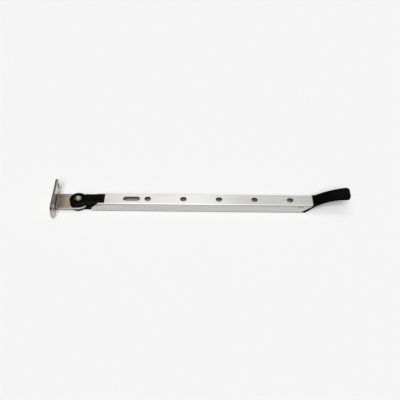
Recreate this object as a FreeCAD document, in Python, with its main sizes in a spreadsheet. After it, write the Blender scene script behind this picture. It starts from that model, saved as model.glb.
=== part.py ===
import FreeCAD, Part
import math
import os
import Sketcher

# Casement window stay, in millimetres. A bracket is screwed to the sash, a
# moulded head turns on its tongue, and a folded bar with peg holes runs from
# the head to a moulded grip.
#
# The part's own frame has its origin on the back face of the bracket's plate,
# midway between the two screw holes. +X runs along the bar and +Z is up along
# the hinge axis. Every sub-part is drawn with the hinge axis at x = 0 and the
# underside of the bar at z = 0, and its Placement moves it into that frame.

SIZES = {
    # bracket, folded from one sheet
    "pivot_reach": 24.2,        # back face of the plate to the hinge axis
    "bracket_sheet": 2.3,
    "plate_length": 45.5,
    "plate_height": 15.4,
    "plate_corner": 5.0,
    "plate_drop": 1.4,          # plate's lower edge under the tongue's underside
    "screw_pitch": 32.0,
    "screw_rise": 9.4,          # screw holes above the plate's lower edge
    "screw_hole": 4.5,
    "screw_sink": 8.4,
    "bend_inside": 1.2,
    "relief_width": 1.3,        # notch on each side of the tongue's fold
    "tongue_width": 20.0,
    "tongue_rise": 3.3,         # tongue's underside above the bar's underside
    # moulded head: two ears round the tongue, then an arm and a plug
    "ear_radius": 8.7,
    "ear_drop": 0.6,            # top of the upper ear under the top of the bar
    "ear_play": 0.15,
    "ear_chamfer": 0.5,
    "ramp_gap": 0.4,            # flat between the ear's rim and the arm's rise
    "ramp_run": 1.6,
    "web_gap": 1.5,             # end of the tongue to the web between the ears
    "web_depth": 2.3,           # web to the front end of the cheeks
    # rivet and its washer
    "rivet_shank": 5.0,
    "rivet_play": 0.04,
    "rivet_head": 7.0,
    "rivet_crown": 1.9,
    "rivet_brim": 0.35,
    "dome_radius": 3.2,
    "rivet_dimple": 2.6,
    "dimple_depth": 0.45,
    "tail_width": 6.2,
    "tail_height": 0.9,
    "tail_round": 0.3,
    "tail_shelter": 0.15,       # tail's face above the ear's underside
    "washer_width": 7.6,
    "washer_sheet": 0.7,
    "recess_play": 0.25,
    # bar, folded from one strip into a channel that is open below
    "bar_width": 16.0,
    "bar_height": 9.6,
    "bar_wall": 1.5,
    "bar_bend": 0.4,            # inner radius of the two folds
    "cheek_step": 4.2,          # upright part of the cheek's front end
    "cheek_run": 6.4,           # sloped part of the cheek's front end
    "cheek_bare": 6.3,          # cheek from there to the end of the top wall
    "slot_offset": 26.9,        # end of the top wall to the middle of the slot
    "slot_length": 16.8,
    "slot_width": 6.2,
    "first_hole": 16.2,         # middle of the slot to the first peg hole
    "hole_pitch": 35.55,
    "peg_hole": 6.3,
    "hole_count": 5,
    "end_margin": 22.7,         # last peg hole to the grip end of the top wall
    "end_run": 12.6,            # how far the bar's grip end recedes underneath
    # punch marks that lock the plugs in the bar
    "punch_length": 1.9,
    "punch_width": 0.9,
    "punch_depth": 0.9,
    "punch_slant": 25.0,
    "punch_gap": 3.0,
    "punch_drop": 2.1,          # marks under the top of the bar
    "head_punch": 9.6,          # web to the middle of the head's two marks
    "grip_punch": 12.0,         # end of the top wall back to the grip's marks
    # plugs in the bar
    "plug_fit": 0.1,
    "head_plug": 13.0,
    "grip_plug": 4.9,           # foot of the bar's end cut to the plug's end
    "core_wall": 1.8,
    "core_roof": 2.0,
    "core_rib": 2.0,
    # grip
    "grip_width": 15.6,
    "grip_reach": 35.8,         # end of the top wall to the tip
    "grip_lift": 12.1,          # top of the bar to the top of the tip
    "grip_top_radius": 92.0,
    "grip_under_radius": 50.0,
    "grip_thick": 5.0,          # at the tip
    "grip_heel": 6.0,           # start of the under curve, back from the top wall's end
    "grip_corner": 4.0,
    "grip_chamfer": 1.0,
    "shoulder_gap": 0.2,
    "grip_land": 0.8,           # flat on top of the grip beside the bar's end
}

RIGHT = 1
LEFT = -1
SPARE = "1"                     # how far a cutting shape runs past the solid
TINY = 1e-3                     # slack when edges are told apart by their place
RIM_SHARE = 0.49                # of the grip's thinnest wall, the most that one rim's chamfer takes

doc = FreeCAD.newDocument("window_stay")
sheet = doc.addObject("Spreadsheet::Sheet", "Dimensions")
places = doc.addObject("App::VarSet", "Places")


def fill_sheet():
    """Write each driving size as plain text beside its name."""
    for row, (name, size) in enumerate(SIZES.items(), start=1):
        sheet.set(f"A{row}", name)
        sheet.set(f"B{row}", str(size))
        sheet.setAlias(f"B{row}", name)
    doc.recompute()
    places.addProperty("App::PropertyFloat", "probe", "Places", "last value asked for")


def expand(expression):
    """Put its owner before each plain name, as in Dimensions.bar_width."""
    text = ""
    word = ""
    for letter in expression + " ":
        if letter.isalnum() or letter in "_.":
            word += letter
            continue
        if word in SIZES:
            word = "Dimensions." + word
        elif word in places.PropertiesList:
            word = "Places." + word
        text += word + letter
        word = ""
    return text.strip()


def value(expression):
    """The number that an expression comes to."""
    places.setExpression("probe", expand(expression))
    places.recompute()
    return places.probe


def place(name, expression):
    """A named place, worked out from the sheet, that features are bound to."""
    places.addProperty("App::PropertyFloat", name, "Places", expression)
    places.setExpression(name, expand(expression).replace("Places.", ""))
    places.recompute()


def place_centre(name, start, end, radius):
    """Name the centre of an arc from start to end, which lies under the arc."""
    run = f"({end[0]} - ({start[0]}))"
    rise = f"({end[1]} - ({start[1]}))"
    drop = f"sqrt({radius} ^ 2 / ({run} ^ 2 + {rise} ^ 2) - 1 / 4)"
    place(f"{name}_x", f"({start[0]} + {end[0]}) / 2 + {rise} * {drop}")
    place(f"{name}_z", f"({start[1]} + {end[1]}) / 2 - {run} * {drop}")


def name_places():
    """Places along the part, in order from the bracket to the grip."""
    place("bar_roof", "bar_height - bar_wall")
    place("bar_inside", "bar_width / 2 - bar_wall")
    place("fold_outside", "bar_bend + bar_wall")
    place("plate_back", "0 - pivot_reach")
    place("plate_face", "bracket_sheet - pivot_reach")
    place("plate_foot", "tongue_rise - plate_drop")
    place("screw_height", "plate_foot + screw_rise")
    place("tongue_top", "tongue_rise + bracket_sheet")
    place("fold_top", "tongue_top + bend_inside")
    place("ear_top", "bar_height - ear_drop")
    place("pivot_bore", "rivet_shank / 2 + rivet_play")
    place("recess_depth", "washer_sheet + tail_height + tail_shelter")
    place("web_face", "tongue_width / 2 + web_gap")
    place("cheek_start", "web_face + web_depth")
    place("slope_end", "cheek_start + cheek_run")
    place("top_start", "slope_end + cheek_bare")
    place("slot_middle", "top_start + slot_offset")
    place("hole_start", "slot_middle + first_hole")
    place("top_end", "hole_start + (hole_count - 1) * hole_pitch + end_margin")
    place("plug_half", "bar_inside - plug_fit")
    place("plug_roof", "bar_roof - plug_fit")
    place("core_half", "plug_half - core_wall")
    place("ramp_start", "sqrt(ear_radius ^ 2 - plug_half ^ 2) + ramp_gap")
    place("grip_tip", "top_end + grip_reach")
    place("tip_top", "bar_height + grip_lift")
    place_centre("under_centre", ("top_end - grip_heel", "0"),
                 ("grip_tip", "(tip_top - grip_thick)"), "grip_under_radius")
    place_centre("top_centre", ("top_end + shoulder_gap + grip_land", "bar_height"),
                 ("grip_tip", "tip_top"), "grip_top_radius")
    place("grip_waist", "grip_top_radius - grip_under_radius - sqrt("
          "(top_centre_x - under_centre_x) ^ 2 + (top_centre_z - under_centre_z) ^ 2)")
    place("grip_rim", f"min(grip_chamfer; {RIM_SHARE} * grip_waist)")


def bind(feature, **expressions):
    """Bind properties of a feature; a double underscore stands for a dot."""
    for name, expression in expressions.items():
        feature.setExpression(name.replace("__", "."), expand(expression))


def new_body(name):
    body = doc.addObject("PartDesign::Body", name)
    body.Label = name
    bind(body, Placement__Base__x="pivot_reach", Placement__Base__z="0 - screw_height")
    return body


def origin_item(body, role):
    return next(item for item in body.Origin.OriginFeatures if item.Role == role)


def new_sketch(body, name, role, offset="0"):
    """An empty sketch on one of the body's origin planes, lifted by offset."""
    sketch = body.newObject("Sketcher::SketchObject", name)
    sketch.AttachmentSupport = [(origin_item(body, role), "")]
    sketch.MapMode = "FlatFace"
    bind(sketch, AttachmentOffset__Base__z=offset)
    return sketch


def constrain(sketch, expression, kind, *where):
    """Add a dimension whose value is bound to an expression."""
    index = sketch.addConstraint(Sketcher.Constraint(kind, *where, value(expression)))
    sketch.setExpression(f"Constraints[{index}]", expand(expression))


def add_edge(sketch, start, stop, radius=None, side=RIGHT):
    """A line, or an arc that bulges to the right or left of the way it runs."""
    if radius is None:
        sketch.addGeometry(Part.LineSegment(start, stop))
        return 1, 2
    chord = stop - start
    reach = value(radius)
    bulge = reach - math.sqrt(reach ** 2 - chord.Length ** 2 / 4)
    normal = FreeCAD.Vector(chord.y, -chord.x, 0).normalize()
    sketch.addGeometry(Part.Arc(start, start + chord / 2 + normal * bulge * side, stop))
    return (1, 2) if side == RIGHT else (2, 1)


def add_loop(sketch, corners):
    """A closed loop of corners (x, y), or (x, y, radius, side) before an arc."""
    first = sketch.GeometryCount
    points = [FreeCAD.Vector(value(corner[0]), value(corner[1]), 0) for corner in corners]
    ends = []
    for i, corner in enumerate(corners):
        following = points[(i + 1) % len(points)]
        ends.append(add_edge(sketch, points[i], following, *corner[2:]))
    for i, corner in enumerate(corners):
        before = i - 1 if i else len(corners) - 1
        start = ends[i][0]
        sketch.addConstraint(Sketcher.Constraint(
            "Coincident", first + before, ends[before][1], first + i, start))
        constrain(sketch, corner[0], "DistanceX", -1, 1, first + i, start)
        constrain(sketch, corner[1], "DistanceY", -1, 1, first + i, start)
    for i, corner in enumerate(corners):
        if len(corner) > 2:
            constrain(sketch, corner[2], "Radius", first + i)


def outline(body, name, role, *loops, offset="0"):
    sketch = new_sketch(body, name, role, offset)
    for corners in loops:
        add_loop(sketch, corners)
    return sketch


def pad(body, name, sketch, length, both_ways=False, backwards=False):
    feature = body.newObject("PartDesign::Pad", name)
    feature.Profile = sketch
    feature.SideType = "Symmetric" if both_ways else "One side"
    feature.Reversed = backwards
    bind(feature, Length=length)
    return feature


def pocket(body, name, sketch, length, both_ways=False, backwards=False):
    feature = body.newObject("PartDesign::Pocket", name)
    feature.Profile = sketch
    feature.SideType = "Symmetric" if both_ways else "One side"
    feature.Reversed = backwards
    bind(feature, Length=length)
    return feature


def block(body, name, kind, start, width, floor, roof):
    """A box centred on y = 0; start is its two ends along x."""
    feature = body.newObject(f"PartDesign::{kind}Box", name)
    bind(feature, Length=f"{start[1]} - ({start[0]})", Width=width, Height=f"{roof} - ({floor})",
         Placement__Base__x=start[0], Placement__Base__y=f"0 - ({width}) / 2",
         Placement__Base__z=floor)
    return feature


def drum(body, name, kind, radius, floor, roof, middle="0"):
    """An upright cylinder on y = 0."""
    feature = body.newObject(f"PartDesign::{kind}Cylinder", name)
    bind(feature, Radius=radius, Height=f"{roof} - ({floor})",
         Placement__Base__x=middle, Placement__Base__z=floor)
    return feature


def break_edges(body, name, size, chosen):
    """Chamfer the edges of the body's last feature that the test picks."""
    doc.recompute()
    last = body.Tip
    edges = [f"Edge{i}" for i, edge in enumerate(last.Shape.Edges, start=1) if chosen(edge)]
    feature = body.newObject("PartDesign::Chamfer", name)
    feature.Base = (last, edges)
    bind(feature, Size=size)
    return feature


def punch_loops(middle, grow="0"):
    """Two slanted marks, leaning to each other at the top, seen along +Y."""
    loops = []
    for lean in (LEFT, RIGHT):
        place_x = f"{middle} + {lean} * punch_gap / 2"
        place_z = "bar_height - punch_drop"
        along = f"(punch_length / 2 + {grow})"
        across = f"(punch_width / 2 + {grow})"
        loop = []
        for u, v in ((-1, -1), (1, -1), (1, 1), (-1, 1)):
            turned_x = f"{u} * {across} * cos(punch_slant) - {lean} * {v} * {along} * sin(punch_slant)"
            turned_z = f"{lean} * {u} * {across} * sin(punch_slant) + {v} * {along} * cos(punch_slant)"
            loop.append((f"{place_x} + {turned_x}", f"{place_z} + {turned_z}"))
        loops.append(loop)
    return loops


def mirror_last(body, name, originals):
    """Repeat features on the other side of the plane y = 0."""
    feature = body.newObject("PartDesign::Mirrored", name)
    feature.Originals = originals
    feature.MirrorPlane = (origin_item(body, "XZ_Plane"), [""])
    body.Tip = feature
    return feature


def make_bracket():
    """Plate and tongue folded from one sheet, with two countersunk screw holes."""
    body = new_body("mounting_bracket")
    half = "plate_length / 2"
    notch = "(tongue_width / 2 + relief_width)"
    head = "(plate_foot + plate_height)"
    plate = outline(body, "plate_outline", "YZ_Plane", [
        (f"plate_corner - {half}", "plate_foot"),
        (f"0 - {notch}", "plate_foot"),
        (f"0 - {notch}", "fold_top"),
        (notch, "fold_top"),
        (notch, "plate_foot"),
        (f"{half} - plate_corner", "plate_foot", "plate_corner", RIGHT),
        (half, "plate_foot + plate_corner"),
        (half, f"{head} - plate_corner", "plate_corner", RIGHT),
        (f"{half} - plate_corner", head),
        (f"plate_corner - {half}", head, "plate_corner", RIGHT),
        (f"0 - {half}", f"{head} - plate_corner"),
        (f"0 - {half}", "plate_foot + plate_corner", "plate_corner", RIGHT),
    ], offset="plate_back")
    pad(body, "plate", plate, "bracket_sheet")
    fold = outline(body, "fold_outline", "XZ_Plane", [
        ("plate_face + bend_inside", "tongue_rise"),
        ("0", "tongue_rise"),
        ("0", "tongue_top"),
        ("plate_face + bend_inside", "tongue_top", "bend_inside", LEFT),
        ("plate_face", "fold_top"),
        ("plate_face", "fold_top + 1"),
        ("plate_back", "fold_top + 1"),
        ("plate_back", "fold_top", "bend_inside + bracket_sheet", RIGHT),
    ])
    pad(body, "folded_tongue", fold, "tongue_width", both_ways=True)
    drum(body, "tongue_end", "Additive", "tongue_width / 2", "tongue_rise", "tongue_top")
    drum(body, "rivet_hole", "Subtractive", "pivot_bore",
         f"tongue_rise - {SPARE}", f"tongue_top + {SPARE}")
    add_screw_holes(body)
    return body


def add_screw_holes(body):
    centres = new_sketch(body, "screw_centres", "YZ_Plane", "plate_face")
    radius = value("screw_hole / 2")
    for i, side in enumerate(("0 - ", "")):
        y = f"{side}screw_pitch / 2"
        middle = FreeCAD.Vector(value(y), value("screw_height"), 0)
        centres.addGeometry(Part.Circle(middle, FreeCAD.Vector(0, 0, 1), radius))
        constrain(centres, y, "DistanceX", -1, 1, i, 3)
        constrain(centres, "screw_height", "DistanceY", -1, 1, i, 3)
        constrain(centres, "screw_hole / 2", "Radius", i)
    doc.recompute()
    holes = body.newObject("PartDesign::Hole", "screw_holes")
    holes.Profile = centres
    holes.DepthType = "ThroughAll"
    holes.HoleCutType = "Countersink"
    holes.HoleCutCustomValues = True
    holes.HoleCutCountersinkAngle = 90
    bind(holes, Diameter="screw_hole", HoleCutDiameter="screw_sink")


def make_head():
    """Two ears round the tongue, a web, an arm between the cheeks and a plug."""
    body = new_body("pivot_head")
    drum(body, "ears", "Additive", "ear_radius", "0", "ear_top")
    side = outline(body, "arm_outline", "XZ_Plane", [
        ("0", "0"),
        ("top_start + head_plug", "0"),
        ("top_start + head_plug", "plug_roof"),
        ("top_start", "plug_roof"),
        ("top_start", "bar_height"),
        ("ramp_start + ramp_run", "bar_height"),
        ("ramp_start", "ear_top"),
        ("0", "ear_top"),
    ])
    pad(body, "arm", side, "2 * plug_half", both_ways=True)
    block(body, "fork_gap", "Subtractive", (f"0 - ear_radius - {SPARE}", "web_face"),
          f"2 * (ear_radius + {SPARE})", "tongue_rise - ear_play", "tongue_top + ear_play")
    drum(body, "rivet_hole", "Subtractive", "pivot_bore", f"0 - {SPARE}", f"ear_top + {SPARE}")
    drum(body, "washer_recess", "Subtractive", "washer_width / 2 + recess_play",
         f"0 - {SPARE}", "recess_depth")
    block(body, "arm_core", "Subtractive",
          ("web_face + core_wall", "top_start - core_rib / 2"), "2 * core_half",
          f"0 - {SPARE}", "plug_roof - core_roof")
    block(body, "plug_core", "Subtractive",
          ("top_start + core_rib / 2", "top_start + head_plug - core_wall"), "2 * core_half",
          f"0 - {SPARE}", "plug_roof - core_roof")
    add_punch_seats(body, "web_face + head_punch")
    rim_floor = value("ear_top") - TINY
    rim_half = value("plug_half") - TINY

    def upper_rim(edge):
        box = edge.BoundBox
        outside = max(-box.YMin, box.YMax) > rim_half
        return outside and box.ZMin > rim_floor and box.XLength > TINY

    break_edges(body, "soft_rim", "min(ear_chamfer; core_wall / 2)", upper_rim)
    return body


def add_punch_seats(body, middle):
    """Pockets in a plug's two sides, where the bar's punched metal sits."""
    seats = outline(body, "seat_outline", "XZ_Plane", *punch_loops(middle, "plug_fit"),
                    offset="plug_half")
    cut = pocket(body, "seats", seats, "punch_depth")
    mirror_last(body, "seats_behind", [cut])


def make_rivet():
    """Domed rivet, dimpled on top, with its tail spread over the washer."""
    body = new_body("pivot_rivet")
    half = outline(body, "half_section", "XZ_Plane", [
        ("0", "tail_shelter"),
        ("tail_width / 2 - tail_round", "tail_shelter"),
        ("tail_width / 2", "tail_shelter + tail_round"),
        ("tail_width / 2", "tail_shelter + tail_height"),
        ("rivet_shank / 2", "tail_shelter + tail_height"),
        ("rivet_shank / 2", "ear_top"),
        ("rivet_head / 2", "ear_top"),
        ("rivet_head / 2", "ear_top + rivet_brim", "dome_radius", RIGHT),
        ("rivet_dimple / 2", "ear_top + rivet_crown"),
        ("0", "ear_top + rivet_crown - dimple_depth"),
    ])
    turned = body.newObject("PartDesign::Revolution", "turned")
    turned.Profile = half
    turned.ReferenceAxis = (half, ["V_Axis"])
    turned.Angle = 360
    return body


def make_washer():
    body = new_body("rivet_washer")
    drum(body, "disc", "Additive", "washer_width / 2", "recess_depth - washer_sheet", "recess_depth")
    drum(body, "eye", "Subtractive", "pivot_bore",
         f"recess_depth - washer_sheet - {SPARE}", f"recess_depth + {SPARE}")
    return body


def make_bar():
    """Channel open below, with cut-back ends, a slot, peg holes and punch marks."""
    body = new_body("channel_bar")
    side = "bar_width / 2"
    section = outline(body, "section", "YZ_Plane", [
        (f"0 - {side}", "0"),
        ("0 - bar_inside", "0"),
        ("0 - bar_inside", "bar_roof - bar_bend", "bar_bend", LEFT),
        ("bar_bend - bar_inside", "bar_roof"),
        ("bar_inside - bar_bend", "bar_roof", "bar_bend", LEFT),
        ("bar_inside", "bar_roof - bar_bend"),
        ("bar_inside", "0"),
        (side, "0"),
        (side, "bar_height - fold_outside", "fold_outside", RIGHT),
        (f"{side} - fold_outside", "bar_height"),
        (f"fold_outside - {side}", "bar_height", "fold_outside", RIGHT),
        (f"0 - {side}", "bar_height - fold_outside"),
    ], offset="cheek_start")
    pad(body, "folded_strip", section, "top_end - cheek_start")
    block(body, "bare_cheeks", "Subtractive", (f"cheek_start - {SPARE}", "top_start"),
          "2 * bar_inside", f"bar_roof - bar_bend - {SPARE}", f"bar_height + {SPARE}")
    front = outline(body, "front_slope", "XZ_Plane", [
        (f"cheek_start - {SPARE}", "cheek_step"),
        ("cheek_start", "cheek_step"),
        ("slope_end", "bar_height"),
        ("slope_end", f"bar_height + {SPARE}"),
        (f"cheek_start - {SPARE}", f"bar_height + {SPARE}"),
    ])
    pocket(body, "front_cut", front, "2 * bar_width", both_ways=True)
    back = outline(body, "back_slope", "XZ_Plane", [
        ("top_end - end_run", "0"),
        ("top_end - end_run", f"0 - {SPARE}"),
        (f"top_end + {SPARE}", f"0 - {SPARE}"),
        (f"top_end + {SPARE}", "bar_height"),
        ("top_end", "bar_height"),
    ])
    pocket(body, "back_cut", back, "2 * bar_width", both_ways=True)
    add_slot(body)
    add_peg_holes(body)
    add_punch_marks(body)
    return body


def add_slot(body):
    reach = "(slot_length - slot_width) / 2"
    floor = f"bar_roof - {SPARE}"
    roof = f"bar_height + {SPARE}"
    block(body, "slot", "Subtractive", (f"slot_middle - {reach}", f"slot_middle + {reach}"),
          "slot_width", floor, roof)
    for name, middle in (("slot_front", f"slot_middle - {reach}"),
                         ("slot_back", f"slot_middle + {reach}")):
        drum(body, name, "Subtractive", "slot_width / 2", floor, roof, middle)


def add_peg_holes(body):
    hole = drum(body, "peg_hole", "Subtractive", "peg_hole / 2",
                f"bar_roof - {SPARE}", f"bar_height + {SPARE}", "hole_start")
    row = body.newObject("PartDesign::LinearPattern", "peg_holes")
    row.Originals = [hole]
    row.Direction = (origin_item(body, "X_Axis"), [""])
    row.Mode = "Spacing"
    bind(row, Offset="hole_pitch", Occurrences="hole_count")
    body.Tip = row


def add_punch_marks(body):
    """Each mark is a dent outside and a bump inside, on both cheeks."""
    loops = punch_loops("web_face + head_punch") + punch_loops("top_end - grip_punch")
    dents = outline(body, "dent_outline", "XZ_Plane", *loops, offset="bar_width / 2")
    dent = pocket(body, "dents", dents, "punch_depth")
    mirror_last(body, "dents_behind", [dent])
    bumps = outline(body, "bump_outline", "XZ_Plane", *loops, offset="bar_inside")
    bump = pad(body, "bumps", bumps, "punch_depth", backwards=True)
    mirror_last(body, "bumps_behind", [bump])


def make_grip():
    """A curved finger grip beside the bar's cut end, and its plug in the bar."""
    body = new_body("handle_grip")
    plug_start = "(top_end - end_run - grip_plug)"
    face_top = "(top_end + shoulder_gap)"
    face_foot = f"({face_top} - end_run)"
    side = outline(body, "grip_outline", "XZ_Plane", [
        (face_foot, "0"),
        ("top_end - grip_heel", "0", "grip_under_radius", LEFT),
        ("grip_tip", "tip_top - grip_thick"),
        ("grip_tip", "tip_top", "grip_top_radius", RIGHT),
        (f"{face_top} + grip_land", "bar_height"),
        (face_foot, "bar_height"),
    ])
    pad(body, "curved_grip", side, "grip_width", both_ways=True)
    half = "grip_width / 2"
    corner = "grip_corner"
    far = f"grip_tip + {SPARE}"
    wide = f"({half} + {SPARE})"
    bay = "(grip_tip - grip_corner)"
    end = outline(body, "tip_outline", "XY_Plane", [
        (bay, f"0 - {wide}"),
        (far, f"0 - {wide}"),
        (far, wide),
        (bay, wide),
        (bay, half, corner, LEFT),
        ("grip_tip", f"{half} - {corner}"),
        ("grip_tip", f"{corner} - {half}", corner, LEFT),
        (bay, f"0 - {half}"),
    ])
    pocket(body, "tip_corners", end, f"tip_top + {SPARE}", backwards=True)
    soften_grip(body)
    face = outline(body, "face_outline", "XZ_Plane", [
        (face_foot, "0"),
        (face_top, "bar_height"),
        (face_top, f"bar_height + {SPARE}"),
        (f"{face_foot} - {SPARE}", f"bar_height + {SPARE}"),
        (f"{face_foot} - {SPARE}", "0"),
    ])
    pocket(body, "slanted_face", face, "2 * grip_width", both_ways=True)
    roof_end = f"{face_top} - (bar_height - plug_roof) * end_run / bar_height"
    plug = outline(body, "plug_outline", "XZ_Plane", [
        (plug_start, "0"),
        ("top_end - grip_heel", "0"),
        (roof_end, "plug_roof"),
        (plug_start, "plug_roof"),
    ])
    pad(body, "plug", plug, "2 * plug_half", both_ways=True)
    block(body, "plug_core", "Subtractive",
          (f"{plug_start} + core_wall", "top_end - end_run - core_rib"), "2 * core_half",
          f"0 - {SPARE}", "plug_roof - core_roof")
    add_punch_seats(body, "top_end - grip_punch")
    return body


def soften_grip(body):
    curve_floor = value("top_end + grip_heel")

    def rim(edge):
        box = edge.BoundBox
        return box.XMax > curve_floor and max(box.XLength, box.YLength) > TINY

    break_edges(body, "soft_grip", "grip_rim", rim)


def troubled_objects():
    return [item.Name for item in doc.Objects
            if "Invalid" in item.State or "Error" in item.State]


def write_parts(bodies):
    doc.recompute()
    troubled = troubled_objects()
    if troubled:
        raise RuntimeError(f"failed objects: {troubled}")
    for body in bodies:
        if body.Shape.isNull() or not body.Shape.isValid():
            raise RuntimeError(f"bad shape: {body.Label}")
    os.makedirs("parts", exist_ok=True)
    for body in bodies:
        body.Shape.exportStep(f"parts/{body.Label}.step")


fill_sheet()
name_places()
write_parts([
    make_bracket(),
    make_head(),
    make_rivet(),
    make_washer(),
    make_bar(),
    make_grip(),
])
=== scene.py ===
import math

import bpy
from mathutils import Matrix, Vector


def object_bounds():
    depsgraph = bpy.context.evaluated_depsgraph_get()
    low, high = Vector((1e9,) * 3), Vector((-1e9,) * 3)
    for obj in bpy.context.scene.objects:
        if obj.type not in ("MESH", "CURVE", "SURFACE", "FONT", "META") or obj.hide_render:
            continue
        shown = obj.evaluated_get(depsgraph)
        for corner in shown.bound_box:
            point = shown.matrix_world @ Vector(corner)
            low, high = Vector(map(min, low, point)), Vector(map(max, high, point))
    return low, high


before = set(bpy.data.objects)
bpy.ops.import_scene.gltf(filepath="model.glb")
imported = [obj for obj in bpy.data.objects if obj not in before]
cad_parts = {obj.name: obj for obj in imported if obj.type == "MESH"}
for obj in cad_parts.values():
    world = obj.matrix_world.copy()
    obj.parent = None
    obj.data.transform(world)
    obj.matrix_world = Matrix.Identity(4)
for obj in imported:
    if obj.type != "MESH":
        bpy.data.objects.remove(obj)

cad_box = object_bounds()

# Lengths are in metres, in the CAD part's own frame.
TABLE_HEIGHT = cad_box[0][2]
TABLE_SIDE = 6.0
TABLE_COLOUR = (0.90, 0.90, 0.90, 1.0)
TABLE_ROUGHNESS = 0.9
TABLE_SPECULAR = 0.1

# The camera is fitted to the photograph. Three of its values are in the photograph's pixels, and
# the sensor's width in millimetres only sets the scale of the lens.
PHOTO_SIDE = 400
FOCAL_PIXELS = 725
AXIS_PIXEL = (203.5, 200.3)
TARGET = Vector((0.1495, 0.0, -0.003))
CAMERA_DISTANCE = 0.725
CAMERA_ELEVATION = math.radians(44.0)
CAMERA_ROLL = math.radians(0.58)
SENSOR_WIDTH = 36.0
CLIP_RANGE = (0.01, 20.0)

# The room's brightness by direction: a soft light hangs overhead and behind.
ACROSS = ((-1.0, 0.08), (-0.22, 0.10), (-0.18, 0.29), (-0.13, 0.83), (-0.06, 0.80),
          (-0.01, 1.0), (0.05, 0.60), (0.13, 0.565), (0.20, 0.42), (0.45, 0.19), (1.0, 0.17))
ALONG = ((-1.0, 0.36), (-0.5, 0.42), (-0.15, 1.0), (0.25, 1.0), (0.55, 0.66), (0.75, 0.60),
         (1.0, 0.50))
ROOM_STRENGTH = 2.97
# The dim parts of the room are warmer than the lights.
WARM_GLOW = (0.25, 1.0)
WARM_LIGHT = (1.0, 0.84, 0.64)
WHITE_LIGHT = (1.0, 0.992, 0.98)
# Each lamp has a way to it, a spread in degrees and a strength.
LAMPS = {
    "front_lamp": ((0.0, -3.2, 3.8), 31.0, 3.35),
    "top_lamp": ((0.0, 0.3, 4.8), 50.0, 0.63),
}

# Rays from each point that look for the edges and corners near it.
NEAR_RAYS = 8
# The edges are worn, and carry a painted highlight, where the rounding bends the surface, and less
# between the clouds.
WEAR_AND_HIGHLIGHT_GAIN = 6.0
WEAR_AND_HIGHLIGHT_CLOUDS = (0.35, 0.6)
WEAR_AND_HIGHLIGHT_RANGE = (0.3, 1.0)
# The grain's share in the colour and in the gloss. The clouds have the rest.
GRAIN_BAND = (0.35, 0.65)
GRAIN_IN_TONE = 0.6
GRAIN_IN_GLOSS = 0.5
GLOSS_BAND = (0.3, 0.7)
# Painted shade in corners, along lower edges and on rims hides this much of the colour, and shows
# this share of the shade.
CORNER_SHADE_REACH = 0.012
CORNER_SHADE_COVER, CORNER_SHADE_TONE = 0.94, 0.3
LOWER_EDGE_SHADE_COVER, RIM_SHADE_COVER, EDGE_SHADE_TONE = 0.9, 0.55, 0.4
# The painted edge shade fades in over this length. A face belongs to a rim while its normal's part
# along the bar is under the first value, and not at all over the second.
EDGE_SHADE_BLUR = 0.0003
RIM_FACING = (0.3, 0.8)
# The painted shade along a lower edge: the height it lies below and its start along the bar; and
# how far from the plate's back the painted rim shade reaches.
BAR_LOWER_EDGE_SHADE = (-0.0106, 0.0)
BRACKET_LOWER_EDGE_SHADE = (-0.0069, 0.006)
BRACKET_RIM = 0.0026


def node(tree, kind, **settings):
    """Adds a node to the tree and sets its own properties."""
    made = tree.nodes.new(kind)
    for name, value in settings.items():
        setattr(made, name, value)
    return made


def arithmetic(tree, operation, first, second=0.0):
    """A Math node. An input is a socket or a plain number."""
    made = node(tree, "ShaderNodeMath", operation=operation)
    for slot, source in zip(made.inputs, (first, second)):
        if isinstance(source, bpy.types.NodeSocket):
            tree.links.new(source, slot)
        else:
            slot.default_value = source
    return made.outputs["Value"]


def product(tree, first, *others):
    """All the inputs multiplied together."""
    for other in others:
        first = arithmetic(tree, "MULTIPLY", first, other)
    return first


def blend(tree, first, second, share):
    """A share of the first input plus the rest of the second."""
    return arithmetic(tree, "ADD", product(tree, first, share), product(tree, second, 1.0 - share))


def remap(tree, source, low, high, new_low, new_high):
    """A smooth Map Range node."""
    made = node(tree, "ShaderNodeMapRange", interpolation_type="SMOOTHSTEP")
    tree.links.new(source, made.inputs["Value"])
    made.inputs["From Min"].default_value = low
    made.inputs["From Max"].default_value = high
    made.inputs["To Min"].default_value = new_low
    made.inputs["To Max"].default_value = new_high
    return made.outputs["Result"]


def axes(tree, kind):
    """X, Y and Z of a texture coordinate, such as a piece's Object or Normal."""
    place = node(tree, "ShaderNodeTexCoord")
    parts = node(tree, "ShaderNodeSeparateXYZ")
    tree.links.new(place.outputs[kind], parts.inputs["Vector"])
    return [parts.outputs[axis] for axis in "XYZ"]


def noise(tree, per_metre, detail=3.0, roughness=0.55):
    """Noise in the piece's own coordinates, with a frequency for each axis."""
    place = node(tree, "ShaderNodeTexCoord")
    stretch = node(tree, "ShaderNodeMapping")
    stretch.inputs["Scale"].default_value = per_metre
    tree.links.new(place.outputs["Object"], stretch.inputs["Vector"])
    made = node(tree, "ShaderNodeTexNoise")
    made.inputs["Scale"].default_value = 1.0
    made.inputs["Detail"].default_value = detail
    made.inputs["Roughness"].default_value = roughness
    tree.links.new(stretch.outputs["Vector"], made.inputs["Vector"])
    return made.outputs["Fac"]


def mix_colours(tree, factor, first, second):
    """A colour between two others. A colour is a socket or an RGB tuple."""
    made = node(tree, "ShaderNodeMix", data_type="RGBA")
    tree.links.new(factor, made.inputs["Factor"])
    for name, source in (("A", first), ("B", second)):
        slot = next(s for s in made.inputs if s.name == name and s.type == "RGBA")
        if isinstance(source, bpy.types.NodeSocket):
            tree.links.new(source, slot)
        else:
            slot.default_value = (*source, 1.0)
    return next(s for s in made.outputs if s.type == "RGBA")


def darkened(tree, mask, colour, shade, tone):
    """The colour, with a share of the shade in its place where the mask is."""
    return mix_colours(tree, mask, colour, tuple(tone * part for part in shade))


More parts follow.
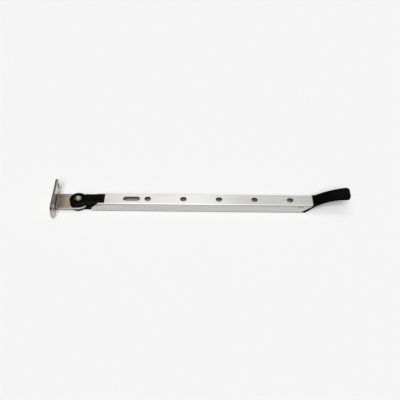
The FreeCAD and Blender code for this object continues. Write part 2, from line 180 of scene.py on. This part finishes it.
def edge_mask(tree, radius):
    """Bevel normal of the given radius, and how near a point is to an edge, from 0 to 1."""
    bevel = node(tree, "ShaderNodeBevel", samples=NEAR_RAYS)
    bevel.inputs["Radius"].default_value = radius
    surface = node(tree, "ShaderNodeNewGeometry")
    dot = node(tree, "ShaderNodeVectorMath", operation="DOT_PRODUCT")
    tree.links.new(bevel.outputs["Normal"], dot.inputs[0])
    tree.links.new(surface.outputs["Normal"], dot.inputs[1])
    bend = arithmetic(tree, "SUBTRACT", 1.0, dot.outputs["Value"])
    return bevel.outputs["Normal"], remap(tree, bend, 0.0, 1.0 / WEAR_AND_HIGHLIGHT_GAIN, 0.0, 1.0)


def corner_shade(tree, span, alone):
    """How much painted shade darkens a spot, from 0 in the open to most in a tight corner or hole.

    span is the openness, from 0 to 1, where it begins and where it is at its most. alone leaves
    the other pieces out.
    """
    corner = node(tree, "ShaderNodeAmbientOcclusion", samples=NEAR_RAYS, only_local=alone)
    corner.inputs["Distance"].default_value = CORNER_SHADE_REACH
    return remap(tree, corner.outputs["AO"], *span, 0.0, CORNER_SHADE_COVER)


def lower_edge_shade(tree, top, start):
    """Where painted shade darkens a lower edge: below the height top, past start along the bar."""
    along, _, height = axes(tree, "Object")
    low = remap(tree, height, top - EDGE_SHADE_BLUR, top + EDGE_SHADE_BLUR, 1.0, 0.0)
    past = remap(tree, along, start, start + EDGE_SHADE_BLUR, 0.0, 1.0)
    return product(tree, low, past, LOWER_EDGE_SHADE_COVER)


def rim_shade(tree, depth):
    """Where painted shade darkens a plate's rim: facing sideways, within depth of the plate's
    back.
    """
    along, facing = axes(tree, "Object")[0], axes(tree, "Normal")[0]
    near = remap(tree, along, depth, depth + EDGE_SHADE_BLUR, 1.0, 0.0)
    sideways = remap(tree, arithmetic(tree, "ABSOLUTE", facing), *RIM_FACING, 1.0, 0.0)
    return product(tree, near, sideways, RIM_SHADE_COVER)


def finish_for(
    name, metallic, rough, edge, base, shade, worn_and_highlight, grain, grain_depth, patches,
    specular=0.5, span=(0.85, 0.35), alone=True, lower_shade=None, rim=None,
):
    """A procedural finish: grain, cloudy patches, worn edges with a painted highlight, painted
    shade in corners, and painted shade along lower edges and on plate rims.

    base, shade and the edge colour are the colours of the field, of the grain's low lines and of
    the edges; the edge colour is partly wear and partly a painted highlight. rough is the range of
    roughness, and edge the radius that the edges are rounded by. grain and patches are noise
    frequencies per metre for each axis. span and alone are those of the painted corner shade, and
    the last two arguments, where they are given, say where the painted lower-edge shade and the
    painted rim shade go.
    """
    material = bpy.data.materials.new(name)
    material.use_nodes = True
    tree = material.node_tree
    shader = tree.nodes["Principled BSDF"]
    shader.inputs["Metallic"].default_value = metallic
    shader.inputs["Specular IOR Level"].default_value = specular
    lines = noise(tree, grain)
    clouds = noise(tree, patches, detail=2.0)
    rounded, near_edge = edge_mask(tree, edge)

    tone = blend(tree, remap(tree, lines, *GRAIN_BAND, 0.0, 1.0), clouds, GRAIN_IN_TONE)
    field = mix_colours(tree, tone, shade, base)
    # Lighter edges: partly wear, partly a painted highlight.
    wear_and_highlight = product(tree, near_edge, remap(tree, clouds, *WEAR_AND_HIGHLIGHT_CLOUDS, *WEAR_AND_HIGHLIGHT_RANGE))
    colour = mix_colours(tree, wear_and_highlight, field, worn_and_highlight)
    # Painted shade on the plate's sideways-facing rim, where a rim depth is given.
    if rim:
        colour = darkened(tree, rim_shade(tree, rim), colour, shade, EDGE_SHADE_TONE)
    # Painted shade in corners, holes and folds, darker where more of the surroundings is blocked.
    colour = darkened(tree, corner_shade(tree, span, alone), colour, shade, CORNER_SHADE_TONE)
    # Painted shade along a lower edge, where one is given: the bar's bottom edge on the table and
    # the bracket tongue's lower edge.
    if lower_shade:
        colour = darkened(tree, lower_edge_shade(tree, *lower_shade), colour, shade, EDGE_SHADE_TONE)
    tree.links.new(colour, shader.inputs["Base Color"])

    gloss = blend(tree, lines, clouds, GRAIN_IN_GLOSS)
    tree.links.new(remap(tree, gloss, *GLOSS_BAND, *rough), shader.inputs["Roughness"])
    bump = node(tree, "ShaderNodeBump")
    bump.inputs["Strength"].default_value = 1.0
    bump.inputs["Distance"].default_value = grain_depth
    tree.links.new(lines, bump.inputs["Height"])
    tree.links.new(rounded, bump.inputs["Normal"])
    tree.links.new(bump.outputs["Normal"], shader.inputs["Normal"])
    return material


FINISHES = {
    "channel_bar": finish_for(
        "bar_satin", metallic=1.0, rough=(0.11, 0.19), edge=0.00035,
        base=(0.60, 0.595, 0.58), shade=(0.51, 0.505, 0.49), worn_and_highlight=(0.78, 0.78, 0.77),
        grain=(35, 3200, 3200), grain_depth=8.0e-6, patches=(25, 60, 60), lower_shade=BAR_LOWER_EDGE_SHADE,
    ),
    "mounting_bracket": finish_for(
        "bracket_rolled", metallic=1.0, rough=(0.07, 0.13), edge=0.0004,
        base=(0.65, 0.61, 0.55), shade=(0.55, 0.51, 0.46), worn_and_highlight=(0.78, 0.76, 0.74),
        grain=(2600, 60, 2600), grain_depth=2.0e-6, patches=(120, 120, 120),
        span=(0.98, 0.58), lower_shade=BRACKET_LOWER_EDGE_SHADE, rim=BRACKET_RIM,
    ),
    "pivot_head": finish_for(
        "head_plastic", metallic=0.0, rough=(0.22, 0.34), edge=0.0006, specular=0.03,
        base=(0.0018, 0.0015, 0.0014), shade=(0.0012, 0.0011, 0.0011), worn_and_highlight=(0.11, 0.105, 0.10),
        grain=(3000, 3000, 3000), grain_depth=3.0e-6, patches=(150, 150, 150),
    ),
    "handle_grip": finish_for(
        "grip_plastic", metallic=0.0, rough=(0.34, 0.50), edge=0.0008, specular=0.025,
        base=(0.0026, 0.0023, 0.0019), shade=(0.0018, 0.0016, 0.0014), worn_and_highlight=(0.006, 0.006, 0.006),
        grain=(3200, 3200, 3200), grain_depth=4.0e-6, patches=(110, 110, 110),
    ),
    "pivot_rivet": finish_for(
        "rivet_plated", metallic=1.0, rough=(0.26, 0.44), edge=0.0002,
        base=(0.55, 0.53, 0.42), shade=(0.42, 0.40, 0.31), worn_and_highlight=(0.70, 0.68, 0.57),
        grain=(1400, 1400, 1400), grain_depth=4.0e-6, patches=(400, 400, 400),
        span=(0.98, 0.48), alone=False,
    ),
    "rivet_washer": finish_for(
        "washer_plain", metallic=1.0, rough=(0.28, 0.42), edge=0.0002,
        base=(0.58, 0.58, 0.56), shade=(0.46, 0.46, 0.45), worn_and_highlight=(0.70, 0.70, 0.68),
        grain=(900, 900, 1800), grain_depth=3.0e-6, patches=(300, 300, 300),
    ),
}

for name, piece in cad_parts.items():
    piece.material_slots[0].material = FINISHES[name]


def make_table():
    """A plain pale table that isn't part of the object."""
    half = TABLE_SIDE / 2
    corners = [
        (TARGET.x + across * half, along * half, TABLE_HEIGHT)
        for across, along in ((-1, -1), (1, -1), (1, 1), (-1, 1))
    ]
    mesh = bpy.data.meshes.new("table")
    mesh.from_pydata(corners, [], [(0, 1, 2, 3)])
    table = bpy.data.objects.new("table", mesh)
    bpy.context.scene.collection.objects.link(table)
    material = bpy.data.materials.new("table_paper")
    material.use_nodes = True
    shader = material.node_tree.nodes["Principled BSDF"]
    shader.inputs["Base Color"].default_value = TABLE_COLOUR
    shader.inputs["Roughness"].default_value = TABLE_ROUGHNESS
    shader.inputs["Specular IOR Level"].default_value = TABLE_SPECULAR
    mesh.materials.append(material)


def add_lamp(name, way, spread, strength):
    """A wide and distant lamp that lights the whole table evenly and shows in no reflection."""
    data = bpy.data.lights.new(name, "SUN")
    data.angle = math.radians(spread)
    data.energy = strength
    lamp = bpy.data.objects.new(name, data)
    lamp.rotation_mode = "QUATERNION"
    lamp.rotation_quaternion = (-Vector(way)).to_track_quat("-Z", "Y")
    lamp.visible_glossy = False
    bpy.context.scene.collection.objects.link(lamp)


def brightness(tree, source, stops):
    """Brightness of the room by one part of the direction, from -1 to 1."""
    ramp = node(tree, "ShaderNodeValToRGB")
    ramp.color_ramp.interpolation = "EASE"
    elements = ramp.color_ramp.elements
    ends = [elements[0], elements[1]]
    for end, (_, level) in zip(ends, (stops[0], stops[-1])):
        end.color = (level, level, level, 1.0)
    for way, level in stops[1:-1]:
        elements.new((way + 1.0) / 2.0).color = (level, level, level, 1.0)
    factor = product(tree, arithmetic(tree, "ADD", source, 1.0), 0.5)
    tree.links.new(factor, ramp.inputs["Fac"])
    return ramp.outputs["Color"]


def make_studio():
    """A soft room that is brightest behind and above the object, and its lamps."""
    world = bpy.data.worlds.new("studio")
    world.use_nodes = True
    bpy.context.scene.world = world
    tree = world.node_tree
    across, along, _ = axes(tree, "Generated")
    glow = product(
        tree, brightness(tree, across, ACROSS), brightness(tree, along, ALONG), ROOM_STRENGTH)
    tint = mix_colours(tree, remap(tree, glow, *WARM_GLOW, 0.0, 1.0), WARM_LIGHT, WHITE_LIGHT)
    background = tree.nodes["Background"]
    tree.links.new(glow, background.inputs["Strength"])
    tree.links.new(tint, background.inputs["Color"])
    world.cycles_visibility.diffuse = False
    for name, lamp in LAMPS.items():
        add_lamp(name, *lamp)


def make_camera():
    """The photograph's viewing angle."""
    data = bpy.data.cameras.new("camera")
    data.sensor_width = SENSOR_WIDTH
    data.lens = SENSOR_WIDTH * FOCAL_PIXELS / PHOTO_SIDE
    data.shift_x = (PHOTO_SIDE / 2 - AXIS_PIXEL[0]) / PHOTO_SIDE
    data.shift_y = (AXIS_PIXEL[1] - PHOTO_SIDE / 2) / PHOTO_SIDE
    data.clip_start, data.clip_end = CLIP_RANGE
    camera = bpy.data.objects.new("camera", data)
    back = Vector((0.0, -math.cos(CAMERA_ELEVATION), math.sin(CAMERA_ELEVATION)))
    turn = (-back).to_track_quat("-Z", "Y").to_matrix() @ Matrix.Rotation(CAMERA_ROLL, 3, "Z")
    camera.matrix_world = Matrix.Translation(TARGET + back * CAMERA_DISTANCE) @ turn.to_4x4()
    bpy.context.scene.collection.objects.link(camera)
    bpy.context.scene.camera = camera


make_table()
make_studio()
make_camera()
bpy.context.scene.view_settings.view_transform = "Standard"
